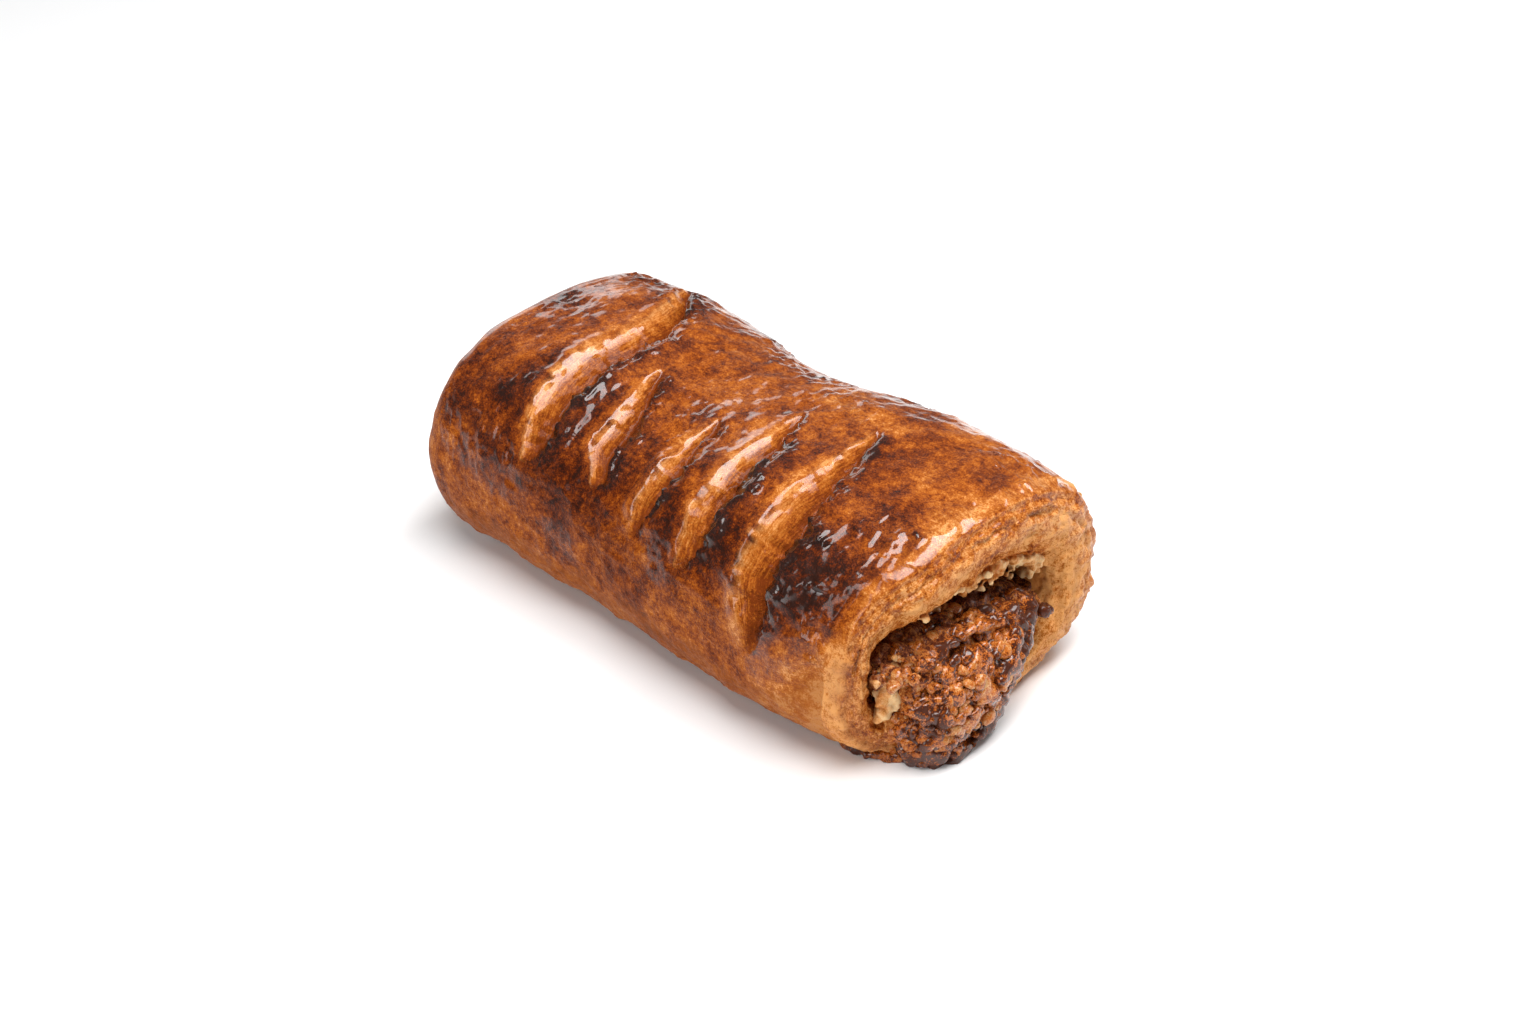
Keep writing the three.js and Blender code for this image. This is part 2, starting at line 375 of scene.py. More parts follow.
def relief(grid):
    """Shapes the grid in two passes and returns the masks that its finish is mixed by."""
    flat = grid.points.copy()
    x, height = flat[..., 0], flat[..., 2]
    w, a = grid.inward, grid.from_top
    on_crust = ((grid.face == 0) & (w == 0)).astype(float)
    near_face = (grid.face > 0).astype(float)
    far_face = (grid.face < 0).astype(float)
    on_end = near_face + far_face
    beside = smooth(48, 74, np.abs(a))
    cut = {key: field * on_crust for key, field in slash_fields(x, a).items()}
    # big forms: the swelling of the dough, the slashes and the lap of the seam
    swell = 0.60 * fractal(flat, 17.0, 11, 2) + 0.34 * noise(flat, 6.5, 23) + 0.12 * noise(flat, 3.6, 25)
    shaped = swell * np.where(w < 1, 1 - 0.4 * w, 0)
    shaped = shaped - cut["depth"] + 0.35 * cut["crest"] + 0.5 * cut["strip"]
    seam = a - SEAM["angle"] - SEAM["wander"] * noise(np.stack([x, 0 * x, 0 * x], -1), 16.0, 71)
    shaped = shaped - SEAM["drop"] * smooth(0, -5, seam) * on_crust * smooth(-178, -140, a)
    shaped = shaped + SEAM["lap"] * bell(seam, 2.0, 6.0) * on_crust
    # the layers of the end faces
    warp = 0.05 * fractal(flat, 8.0, 41, 2) + 0.02 * noise(flat, 2.5, 43)
    shallow = mix(0.35, 1, smooth(-0.3, 0.5, noise(flat, 9.0, 47)))
    groove = (0.65 * bell(w + warp, 0.30, 0.035) + 0.5 * bell(w - warp, 0.60, 0.05)) * shallow
    shelf = 0.8 * smooth(0.08, 0.15, w + 0.3 * warp) * smooth(0.7, 0.25, w)
    leaves = 0.30 * noise(flat * (0.5, 1.0, 1.0) + w[..., None] * (22.0, 0, 0), 1.4, 45)
    near_layers = near_face * (leaves - groove - shelf) * smooth(0.07, 0.15, w)
    far_layers = far_face * (leaves - 0.6 * groove) * smooth(0.08, 0.25, w)
    shaped = shaped + (near_layers + far_layers) * smooth(1.0, 0.85, w)
    rolled = on_crust * smooth(43, 54, x) ** 1.5 + near_face * smooth(0.22, 0, w)
    grid.displace(shaped - ROLL_OVER * rolled * smooth(12, 22, height))
    tear_mouth(grid, flat, near_face, w)
    # fine forms: crinkled glaze on the walls and edges, pitted matte dough low on the sides
    ragged = 3.0 * noise(flat, 6.0, 61) + 1.2 * noise(flat, 2.2, 62)
    top = smooth(9, 19, height + ragged - 9.0 * smooth(34, 50, x)) * on_crust
    side = (1 - top) * on_crust
    margin = bell(a, 74, 17) * on_crust * smooth(-48, -20, x)
    wrinkle = ridged(flat * (1.15, 0.7, 0.7), 2.6, 81, 3.2)
    folds = ridged(flat * (0.4, 0.9, 0.9), 3.8, 85, 4.0)
    crackle = ridged(flat * (0.3, 1.0, 1.0), 3.0, 83, 3.0)
    flakes = ridged(flat * (1, 0.5, 0.5), 2.2, 96, 3.0)
    patches = smooth(-0.05, 0.4, noise(flat, 9.0, 87)) * top
    crinkled = np.clip(cut["shoulder"] + 0.42 * patches * (1 - cut["wall"]), 0, 1)
    cracked = (bell(x, 52.5, 5.5) * top + near_face * smooth(0.1, 0.0, w)) * mix(0.55, 1, smooth(20, -25, a))
    covered = smooth(0.08, 0.25, w + 0.2 * beside)
    fine = 0.24 * fractal(flat, 2.0, 91, 2) * top
    fine = fine + (0.32 * fractal(flat, 1.9, 93, 2) + 0.45 * (folds - 0.3)) * side
    fine = fine + (1.45 * (wrinkle - 0.3) + 0.25 * noise(flat, 1.1, 89)) * crinkled
    fine = fine + 0.95 * (folds - 0.3) * margin
    fine = fine + 1.15 * (crackle - 0.35) * cracked * smooth(72, 50, a)
    fine = fine + 0.14 * noise(flat * (1, 0.3, 0.3), 1.0, 95) * cut["bared"]
    fine = fine + near_face * (0.48 * fractal(flat, 1.8, 97, 2) + 0.95 * (flakes - 0.35)) * covered
    fine = fine + far_face * 0.3 * fractal(flat, 1.9, 98, 2) * smooth(0.1, 0.3, w)
    grid.displace(fine)
    # how far each finish reaches
    drip = 0.02 * noise(flat, 3.0, 99) + 0.012 * noise(flat, 1.2, 100)
    rim = mix(smooth(0.05, 0.085, w + drip), smooth(-0.06, 0.32, w + 4 * drip), beside) * on_end
    dull_slope = cut["bared"] * smooth(0.30, 0.55, cut["sink"])
    glaze = np.clip(top + on_end * (1 - rim), 0, 1)
    facing_floor = smooth(22, 58, a) * (1 - crinkled)
    sheen = glaze * (1 - 0.85 * dull_slope) * (1 - 0.92 * facing_floor)
    sheen = sheen + 0.45 * near_face * rim * smooth(0.8, 0.3, w) + 0.6 * cut["crest"]
    # The sink mask darkens the bared dough: down each slash towards its valley as painted shade, lower down the
    # side, and by the baked tone of the end faces.
    sink = cut["sink"] + 0.3 * cut["bared"] * smooth(35, 78, a) + on_end * lip_tone(flat, w, a)
    return {
        "bared": np.clip(cut["bared"] + rim, 0, 1),
        "rim": rim,
        "sink": np.clip(sink, 0, 1),
        "glaze": glaze,
        "sheen": np.clip(sheen, 0, 1),
        "wall": np.clip(cut["wall"] + 0.6 * margin + 0.35 * patches, 0, 1),
        # The crease mask also takes the grooves between the end-face layers; both are darkened in the colour as
        # painted shade.
        "crease_shade": np.clip(cut["crease_shade"] + near_face * groove, 0, 1),
        "across": np.where(w > 0, w * FACE_SPREAD, cut["across"]),
        "inner": (w > 0.985).astype(float),
        "toast_and_highlight": toast_and_highlight(flat, a, cut, top, wrinkle * crinkled),
    }


def lip_tone(flat, w, from_top):
    """How dark the end faces are coloured: amber at the top and towards -Y, palest towards +Y, where the
    paleness is partly baked tone and partly painted light.
    """
    tone = 0.62 - 0.30 * smooth(0.1, 0.45, w) + 0.22 * smooth(0.6, 0.95, w)
    # Partly painted light: the faces lighten towards +Y.
    by_side = 0.10 * smooth(40, 85, from_top) - 0.80 * smooth(-25, -80, from_top)
    tone = tone + smooth(0.0, 0.3, w) * by_side
    return tone + 0.30 * fractal(flat, 5.0, 211, 2)


def tear_mouth(grid, flat, near_face, w):
    """Pulls the edge of the near mouth into ragged tabs."""
    pull = smooth(0.70, 0.97, w) * near_face * (1.0 * noise(flat, 3.0, 51) + 0.7 * noise(flat, 1.3, 52))
    toward = np.array([0, MOUTH["y"], MOUTH["z"]]) - grid.points
    toward[..., 0] = 0
    toward /= np.maximum(np.linalg.norm(toward, axis=-1, keepdims=True), 1e-6)
    grid.points = grid.points + toward * pull[..., None]


def toast_and_highlight(flat, a, cut, top, raised):
    """How darkly the crust baked, with painted highlights that lighten the slash crests in part and the top
    behind the near ridge towards +Y: below 0 pale, 1 scorched; a is the angle from the top.
    """
    x = flat[..., 0]
    value = 0.47 + 0.34 * fractal(flat, 9.0, 201, 3) + 0.10 * noise(flat, 2.2, 205)
    # The crest term lightens the top edge of each slash: partly paler baked dough and partly a painted
    # highlight.
    value = value + 0.17 * cut["wall"] + 0.22 * raised - 0.30 * cut["crest"]
    value = value + 0.30 * bell(a, 54, 25) * top * smooth(60, 30, np.abs(x))
    value = value + 0.15 * bell(x, 38, 8) * bell(a, 55, 19)
    value = value - 0.50 * smooth(34, 50, x) * smooth(58, 84, a)
    # Painted highlight: lighter behind the near ridge towards +Y.
    value = value - 0.16 * smooth(34, 46, x) * smooth(15, -25, a)
    value = value + 0.08 * bell(x, -56, 9) - 0.16 * bell(x, 54, 4.5)
    value = value - 0.10 * (1 - top) - 0.10 * smooth(12, 0, flat[..., 2])
    return np.clip(value, -0.2, 1)


# ---------------------------------------------------------------- meshes


def offset():
    """From the script's millimetres to the frame's: the dough box sets it."""
    return np.array(bpy.context.scene["walnut_roll_offset"])


def grid_mesh(name, points, row_share):
    """A quad mesh over a grid that closes on itself across its columns and its rows."""
    rows, columns = points.shape[:2]
    r = np.arange(rows)[:, None]
    c = np.arange(columns)[None, :]
    r_next, c_next = (r + 1) % rows, (c + 1) % columns
    corners = ((r, c), (r, c_next), (r_next, c_next), (r_next, c))
    quads = np.stack([row * columns + column for row, column in corners], -1).reshape(-1, 4)
    mesh = bpy.data.meshes.new(name)
    mesh.from_pydata(points.reshape(-1, 3).tolist(), [], quads.tolist())
    u0 = np.broadcast_to(c / columns, (rows, columns))
    u1 = u0 + 1 / columns
    v0 = np.broadcast_to(row_share[:-1, None], (rows, columns))
    v1 = np.broadcast_to(row_share[1:, None], (rows, columns))
    loops = np.stack([np.stack(uv, -1) for uv in ((u0, v0), (u1, v0), (u1, v1), (u0, v1))], 2)
    layer = mesh.uv_layers.new(name="OFBake")
    layer.data.foreach_set("uv", loops.astype(np.float32).reshape(-1))
    mesh.polygons.foreach_set("use_smooth", np.ones(len(mesh.polygons), bool))
    mesh.validate()
    return mesh


def sphere_template(subdivisions):
    """Corners and triangles of a unit ball."""
    ball = bmesh.new()
    bmesh.ops.create_icosphere(ball, subdivisions=subdivisions, radius=1.0)
    corners = np.array([v.co for v in ball.verts])
    faces = np.array([[v.index for v in f.verts] for f in ball.faces])
    ball.free()
    return corners, faces


def chopped(centres, radii, seed, facets=5, flat=0.62):
    """Irregular chopped bits: balls squashed, turned and cut by a few planes each."""
    rng = np.random.default_rng(seed)
    ball, faces = sphere_template(2)
    count = len(centres)
    points = np.broadcast_to(ball, (count, *ball.shape)).copy()
    for _ in range(facets):
        plane = rng.normal(size=(count, 1, 3))
        plane /= np.linalg.norm(plane, axis=-1, keepdims=True)
        reach = rng.uniform(0.45, 0.85, (count, 1, 1))
        beyond = np.maximum((points * plane).sum(-1, keepdims=True) - reach, 0)
        points -= plane * beyond
    points *= rng.uniform(flat, 1.25, (count, 1, 3))
    angles, axes = rng.uniform(0, TURN, count), rng.normal(size=(count, 3))
    turn = np.array([Matrix.Rotation(a, 3, Vector(v)) for a, v in zip(angles, axes)])
    points = np.einsum("nij,nkj->nki", turn, points)
    points = points * np.asarray(radii)[:, None, None] + np.asarray(centres)[:, None, :]
    joined = (faces[None] + np.arange(count)[:, None, None] * len(ball)).reshape(-1, 3)
    return points.reshape(-1, 3), joined, np.repeat(np.arange(count), len(ball))


def fused(name, parts, roughness, voxel=VOXEL, relax=2):
    """One rough skin round a heap of overlapping closed shapes, as points and faces."""
    mesh = bpy.data.meshes.new(name)
    start, corners, faces = 0, [], []
    for points, polygons in parts:
        corners.append(points)
        faces.extend((np.asarray(polygons) + start).tolist())
        start += len(points)
    mesh.from_pydata((np.concatenate(corners) * MM).tolist(), [], faces)
    holder = bpy.data.objects.new(name, mesh)
    bpy.context.scene.collection.objects.link(holder)
    remesh = holder.modifiers.new("skin", "REMESH")
    remesh.mode = "VOXEL"
    remesh.voxel_size = voxel * MM
    soften = holder.modifiers.new("soften", "SMOOTH")
    soften.factor = 0.5
    soften.iterations = relax
    skin = holder.evaluated_get(bpy.context.evaluated_depsgraph_get()).to_mesh()
    points, normals = (np.empty(len(skin.vertices) * 3, np.float32) for _ in range(2))
    skin.vertices.foreach_get("co", points)
    skin.vertices.foreach_get("normal", normals)
    polygons = [list(face.vertices) for face in skin.polygons]
    bpy.data.objects.remove(holder)
    bpy.data.meshes.remove(mesh)
    if not polygons:
        raise RuntimeError(f"{name} has no skin")
    points = points.reshape(-1, 3) / MM
    return points + normals.reshape(-1, 3) * roughness(points)[:, None], polygons


def closed_loft(rings):
    """Points and faces of a solid through a stack of rings, closed by fans at its two ends."""
    rings = np.asarray(rings)
    rows, columns = rings.shape[:2]
    points = np.concatenate([rings.reshape(-1, 3), rings[0].mean(0)[None], rings[-1].mean(0)[None]])
    first, last = rows * columns, rows * columns + 1
    faces = []
    for r in range(rows - 1):
        for c in range(columns):
            d = (c + 1) % columns
            faces.append((r * columns + c, r * columns + d, (r + 1) * columns + d))
            faces.append((r * columns + c, (r + 1) * columns + d, (r + 1) * columns + c))
    for c in range(columns):
        d = (c + 1) % columns
        faces.append((first, d, c))
        faces.append((last, (rows - 1) * columns + c, (rows - 1) * columns + d))
    return points, np.array(faces)


def kept_within(points, box):
    """Bends points back inside a box over its last stretch; only the tray cuts them flat."""
    low, high = box
    over = np.maximum(points - (high - EASE), 0)
    points = points - over + EASE * (1 - np.exp(-over / EASE))
    under = np.maximum(low + EASE - points, 0) * (1, 1, 0)
    points = points + under - EASE * (1 - np.exp(-under / EASE))
    points[:, 2] = np.maximum(points[:, 2], low[2])
    return points


def add_from_points(name, points, faces, masks, material, box, replaced=None):
    """Adds a piece from the script's millimetres, kept inside a box of the frame."""
    moved = kept_within(np.asarray(points) + offset(), box)
    mesh = bpy.data.meshes.new(name)
    mesh.from_pydata((moved * MM).tolist(), [], [list(face) for face in faces])
    mesh.polygons.foreach_set("use_smooth", np.ones(len(mesh.polygons), bool))
    mesh.validate()
    add_masks(mesh, masks)
    add_piece(name, mesh, material, replaced)


def add_filling(name, points, faces, masks, material, replaced=None):
    add_from_points(name, points, faces, masks, material, FILLING_BOX, replaced)


def add_masks(mesh, masks):
    for name, values in masks.items():
        layer = mesh.attributes.new(name, "FLOAT", "POINT")
        layer.data.foreach_set("value", np.asarray(values, np.float32).reshape(-1))


def add_piece(name, mesh, material, replaced=None):
    piece = bpy.data.objects.new(name, mesh)
    bpy.context.scene.collection.objects.link(piece)
    mesh.materials.append(material)
    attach(piece, "root")
    if replaced:
        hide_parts(replaced)


# ---------------------------------------------------------------- shader building blocks


class Nodes:
    """Short calls to add and join the nodes of one tree."""

    def __init__(self, tree):
        self.tree = tree

    def add(self, kind, **values):
        node = self.tree.nodes.new(kind)
        for key, value in values.items():
            setattr(node, key, value)
        return node

    def join(self, source, target):
        self.tree.links.new(source, target)

    def put(self, value, socket):
        if isinstance(value, bpy.types.NodeSocket):
            self.join(value, socket)
        elif socket.type == "RGBA":
            socket.default_value = (*value[:3], 1.0)
        else:
            socket.default_value = value

    def attribute(self, name):
        return self.add("ShaderNodeAttribute", attribute_name=name).outputs["Fac"]

    def place(self):
        return self.add("ShaderNodeTexCoord").outputs["Object"]

    def math(self, operation, a, b=0.0, clamp=False):
        node = self.add("ShaderNodeMath", operation=operation, use_clamp=clamp)
        self.put(a, node.inputs[0])
        self.put(b, node.inputs[1])
        return node.outputs[0]

    def plus(self, a, b, clamp=False):
        return self.math("ADD", a, b, clamp)

    def minus(self, a, b, clamp=False):
        return self.math("SUBTRACT", a, b, clamp)

    def times(self, a, b, clamp=False):
        return self.math("MULTIPLY", a, b, clamp)

    def span(self, value, low, high, to_low=0.0, to_high=1.0):
        node = self.add("ShaderNodeMapRange", interpolation_type="SMOOTHSTEP")
        self.put(value, node.inputs["Value"])
        for key, number in zip(("From Min", "From Max", "To Min", "To Max"), (low, high, to_low, to_high)):
            self.put(number, node.inputs[key])
        return node.outputs["Result"]

    def noise(self, vector, scale, detail=3.0, roughness=0.55, distortion=0.0):
        node = self.add("ShaderNodeTexNoise")
        values = dict(Vector=vector, Scale=scale, Detail=detail, Roughness=roughness, Distortion=distortion)
        for key, value in values.items():
            self.put(value, node.inputs[key])
        return node.outputs["Fac"]

    def cells(self, vector, scale):
        node = self.add("ShaderNodeTexVoronoi")
        self.put(vector, node.inputs["Vector"])
        self.put(scale, node.inputs["Scale"])
        return node.outputs["Distance"]

    def ramp(self, value, stops):
        node = self.add("ShaderNodeValToRGB")
        self.put(value, node.inputs["Fac"])
        band = node.color_ramp
        while len(band.elements) < len(stops):
            band.elements.new(0.5)
        for element, (position, colour) in zip(band.elements, stops):
            element.position = position
            element.color = (*colour[:3], 1.0)
        return node.outputs["Color"]

    def blend(self, factor, a, b):
        node = self.add("ShaderNodeMix", data_type="RGBA")
        self.put(factor, node.inputs["Factor"])
        self.put(a, node.inputs["A"])
        self.put(b, node.inputs["B"])
        return node.outputs["Result"]

    def bump(self, height, strength, distance):
        node = self.add("ShaderNodeBump")
        self.put(height, node.inputs["Height"])
        node.inputs["Strength"].default_value = strength
        node.inputs["Distance"].default_value = distance
        return node.outputs["Normal"]

    def group(self, tree, **values):
        node = self.add("ShaderNodeGroup", node_tree=tree)
        for key, value in values.items():
            self.put(value, node.inputs[key])
        return node.outputs


def shared_group(name, inputs, outputs, fill):
    """A node group of number sockets, built the first time it is asked for."""
    if name in bpy.data.node_groups:
        return bpy.data.node_groups[name]
    tree = bpy.data.node_groups.new(name, "ShaderNodeTree")
    for label, default in inputs.items():
        socket = tree.interface.new_socket(label, in_out="INPUT", socket_type="NodeSocketFloat")
        socket.default_value = default
    for label in outputs:
        tree.interface.new_socket(label, in_out="OUTPUT", socket_type="NodeSocketFloat")
    source = tree.nodes.new("NodeGroupInput")
    target = tree.nodes.new("NodeGroupOutput")
    fill(Nodes(tree), source.outputs, target.inputs)
    return tree


def baked_mottle():
    """Blotches and specks of browning at three scales, as one value around zero."""
    def fill(n, given, out):
        place = n.place()
        blotch = n.minus(n.noise(place, given["Blotch"], 3.0, 0.6, 0.4), 0.5)
        speck = n.minus(n.noise(place, given["Speck"], 3.0, 0.65), 0.5)
        fine = n.minus(n.noise(place, n.times(given["Speck"], 3.1), 2.0, 0.6), 0.5)
        both = n.plus(n.times(blotch, 0.85), n.times(speck, 1.05))
        both = n.plus(both, n.times(fine, 0.95))
        n.join(n.times(both, given["Contrast"]), out["Mottle"])

    inputs = dict(Blotch=170.0, Speck=800.0, Contrast=1.0)
    return shared_group("Baked Mottle", inputs, ("Mottle",), fill)


def layer_lines():
    """Fine lamination strands that follow a distance across the layers, as height and shade."""
    def fill(n, given, out):
        place = n.place()
        waver = n.times(n.minus(n.noise(place, 220.0, 3.0, 0.6), 0.5), given["Waver"])
        flow = n.add("ShaderNodeCombineXYZ")
        n.join(n.math("DIVIDE", n.plus(given["Across"], waver), given["Pitch"]), flow.inputs["X"])
        spread = n.add("ShaderNodeVectorMath", operation="SCALE")
        n.join(place, spread.inputs[0])
        spread.inputs["Scale"].default_value = 160.0
        joined = n.add("ShaderNodeVectorMath", operation="ADD")
        n.join(flow.outputs[0], joined.inputs[0])
        n.join(spread.outputs[0], joined.inputs[1])
        strands = n.noise(joined.outputs[0], 1.5, 4.0, 0.62)
        n.join(strands, out["Height"])
        n.join(n.span(strands, 0.32, 0.68), out["Shade"])

    inputs = dict(Across=0.0, Pitch=1.0, Waver=1.2)
    return shared_group("Layer Lines", inputs, ("Height", "Shade"), fill)


def glaze_crinkle():
    """Dried syrup: thin wrinkles and pooled patches, as height and cover."""
    def fill(n, given, out):
        place = n.place()
        ridge = n.math("ABSOLUTE", n.minus(n.noise(place, given["Scale"], 3.0, 0.6, 0.9), 0.5))
        ridge = n.minus(1.0, n.times(ridge, 5.0), clamp=True)
        patch = n.noise(place, 150.0, 2.0, 0.5)
        n.join(n.times(ridge, n.span(patch, 0.35, 0.65)), out["Height"])
        n.join(n.span(patch, 0.30, 0.62), out["Cover"])

    return shared_group("Glaze Crinkle", dict(Scale=420.0), ("Height", "Cover"), fill)


def new_material(name, coat_roughness=0.1):
    material = bpy.data.materials.new(name)
    material.use_nodes = True
    shader = material.node_tree.nodes["Principled BSDF"]
    shader.inputs["IOR"].default_value = 1.5
    shader.inputs["Coat IOR"].default_value = 1.5
    shader.inputs["Coat Roughness"].default_value = coat_roughness
    shader.inputs["Specular IOR Level"].default_value = 0.05
    return material, Nodes(material.node_tree), shader


def glazed_crust():
    """Crust, bared layers and end faces of the dough, mixed by the masks of its mesh."""
    c = colours()
    material, n, shader = new_material("glazed_crust", 0.12)
    keys = ("bared", "rim", "sink", "glaze", "sheen")
    bared, rim, sink, glaze, sheen = (n.attribute(key) for key in keys)
    contrast = n.span(glaze, 0.1, 0.7, 1.1, 1.0)
    mottle = n.group(baked_mottle(), Blotch=300.0, Speck=1100.0, Contrast=contrast)["Mottle"]
    crinkle = n.group(glaze_crinkle(), Scale=650.0)
    lines = n.group(layer_lines(), Across=n.attribute("across"), Pitch=0.45, Waver=1.2)
    # This mask carries the baked browning, plus painted highlights on the slash crests and behind the near
    # ridge.
    level = n.plus(n.times(n.plus(n.attribute("toast_and_highlight"), mottle), 0.85), 0.15, clamp=True)
    crust_colour = n.ramp(level, [
        (0.0, c.pale), (0.14, c.straw), (0.27, c.golden), (0.44, c.amber),
        (0.63, c.chestnut), (0.81, c.mahogany), (0.98, c.scorched),
    ])
    dull_crust = n.blend(0.55, crust_colour, c.matte_side)
    crust_colour = n.blend(n.span(glaze, 0.6, 0.1), crust_colour, dull_crust)
    # Painted shade: the bared dough darkens down each slash towards its valley, mixed with the baked tone of
    # the end faces.
    depth = n.times(n.minus(sink, n.times(rim, 0.15)), 0.80)
    strands = n.times(n.minus(0.5, lines["Shade"]), n.span(rim, 0, 1, 0.38, 0.26))
    flecks = n.times(mottle, n.span(rim, 0, 1, 0.9, 1.5))
    depth = n.plus(n.plus(depth, strands), n.plus(flecks, 0.20), clamp=True)
    dough_colour = n.ramp(depth, [
        (0.0, c.pale), (0.25, c.straw), (0.5, c.golden), (0.72, c.amber), (0.95, c.chestnut),
    ])
    base = n.blend(bared, crust_colour, dough_colour)
    # Painted shade: the slash valleys and the grooves between end-face layers darken towards chestnut and
    # mahogany.
    crease_shade = n.times(n.attribute("crease_shade"), n.span(rim, 0, 1, 0.6, 0.4))
    base = n.blend(crease_shade, base, n.blend(rim, c.chestnut, c.mahogany))
    n.join(n.blend(n.attribute("inner"), base, c.straw), shader.inputs["Base Color"])
    rough = n.plus(n.span(bared, 0, 1, 0.42, 0.62), n.times(mottle, 0.2))
    n.join(rough, shader.inputs["Roughness"])
    shine = n.times(sheen, n.span(crinkle["Cover"], 0, 1, 0.6, 1.0), clamp=True)
    n.join(shine, shader.inputs["Coat Weight"])
    grain = n.times(n.noise(n.place(), 1500.0, 3.0, 0.6), n.span(glaze, 0, 1, 0.9, 0.42))
    fibres = n.times(lines["Height"], n.times(bared, n.span(sheen, 0.2, 0.9, 1.2, 0.35)))
    wrinkling = n.times(glaze, n.span(n.attribute("wall"), 0, 1, 0.5, 1.5))
    height = n.plus(n.plus(grain, fibres), n.times(crinkle["Height"], wrinkling))
    n.join(n.bump(height, 0.6, 0.0005), shader.inputs["Normal"])
    return material


# ---------------------------------------------------------------- operators


class WALNUTROLL_OT_dough(bpy.types.Operator):
    """Build the risen, slashed and glazed dough"""

    bl_idname = "walnut_roll.dough"
    bl_label = "Dough"

    def execute(self, context):
        grid = DoughGrid()
        nominal = grid.points.reshape(-1, 3)
        shift = (DOUGH_BOX[0] + DOUGH_BOX[1]) / 2 - (nominal.min(0) + nominal.max(0)) / 2
        shift[2] = 0.0
        context.scene["walnut_roll_offset"] = shift.tolist()
        masks = relief(grid)
        points = kept_within(grid.points.reshape(-1, 3) + shift, DOUGH_BOX)
        mesh = grid_mesh("pastry_dough", (points * MM).reshape(grid.points.shape), grid.row_share)
        add_masks(mesh, masks)
        add_piece("pastry_dough", mesh, glazed_crust(), "pastry_roll")
        return {"FINISHED"}


# ---------------------------------------------------------------- filling


def lowered(y, z, middle, sink):
    """How far the upper half of the filling has dropped; it drops most towards +Y."""
    return sink * (0.55 + 0.45 * np.clip((y + 5) / 20, 0, 1)) * np.clip((z - middle) / 10, 0, 1)


def log_rings(start, stop, count):
    """Sections of the filling inside the dough; its top sinks towards both mouths."""
    angle = np.linspace(0, TURN, 49)[:-1]
    rings = []
    for x in np.linspace(start, stop, count):
        y, z = hollow(x + 0 * angle, angle, FILLING_GAP)
        sink = NEAR_SINK * smooth(24, 56, x) + FAR_SINK * smooth(-30, -56, x)
        middle = mix(FAR_MOUTH["z"], MOUTH["z"], np.clip((x + 53) / 106, 0, 1))
        rings.append(np.stack([x + 0 * y, y, z - lowered(y, z, middle, sink)], -1))
    return rings


def spill_at(z):
    """Middle and half width of the spill along y at a height, and how far forward it stands."""
    levels = np.array(SPILL)
    return [np.interp(z, levels[:, 0], levels[:, k]) for k in (1, 2, 3)]


def spill_points(z, angle):
    """Points round the level sections of the spill; angle 0 is its front."""
    middle, half, front = spill_at(z)
    x = (front + SPILL_BACK) / 2 + (front - SPILL_BACK) / 2 * power(np.cos(angle), 0.75)
    return np.stack([x, middle + half * power(np.sin(angle), 0.8), z + 0 * x], -1)


def spill_rings():
    """Level sections of the filling that has run out over the lower lip to the tray."""
    angle = np.linspace(0, TURN, 41)[:-1]
    return [spill_points(z, angle) for z in np.linspace(SPILL[0][0], SPILL[-1][0], 22)]


def spill_surface(rng, count, low, high):
    """Random places on the front of the spill, with how near each is to its right edge."""
    z = rng.uniform(low, high, count)
    angle = rng.uniform(-0.5, 0.5, count) * math.pi
    return spill_points(z, angle), np.sin(angle)


def cavity_floor(rng, count):
    """Random places on the sunken top of the filling behind the mouth."""
    x = rng.uniform(40, 60, count)
    y = rng.uniform(-26, 15, count)
    angle = np.arccos(np.clip((y + 5) / 23.0, -1, 1))
    _, z = hollow(x, angle, FILLING_GAP)
    return np.stack([x, y, z - lowered(y, z, 19.5, NEAR_SINK * smooth(24, 56, x))], -1)


def burn_mask(points):
    """Where the filling caught: its right-hand edge, its foot and a few stray lumps."""
    x, y, z = points.T
    middle, half, _ = spill_at(z)
    right = smooth(0.15, 0.95, (y - middle) / half + 0.35 * fractal(points, 7.0, 301, 2))
    foot = smooth(8, 0, z + 3.0 * noise(points, 5.0, 303))
    stray = smooth(0.25, 0.6, noise(points, 6.0, 305)) * 0.6
    return np.clip(np.maximum(right * smooth(44, 54, x), foot) + stray * smooth(50, 60, x), 0, 1)


def filling_masks(points):
    x, y, z = points.T
    inside = smooth(60.0, 56, x) * smooth(14, 19, z)
    pale = smooth(0.1, 0.5, noise(points, 7.0, 311) + 0.5 * bell(z, 22, 5) * smooth(-8, -18, y))
    return {"burn": burn_mask(points), "inside": inside, "pale": pale * smooth(10, 16, z)}


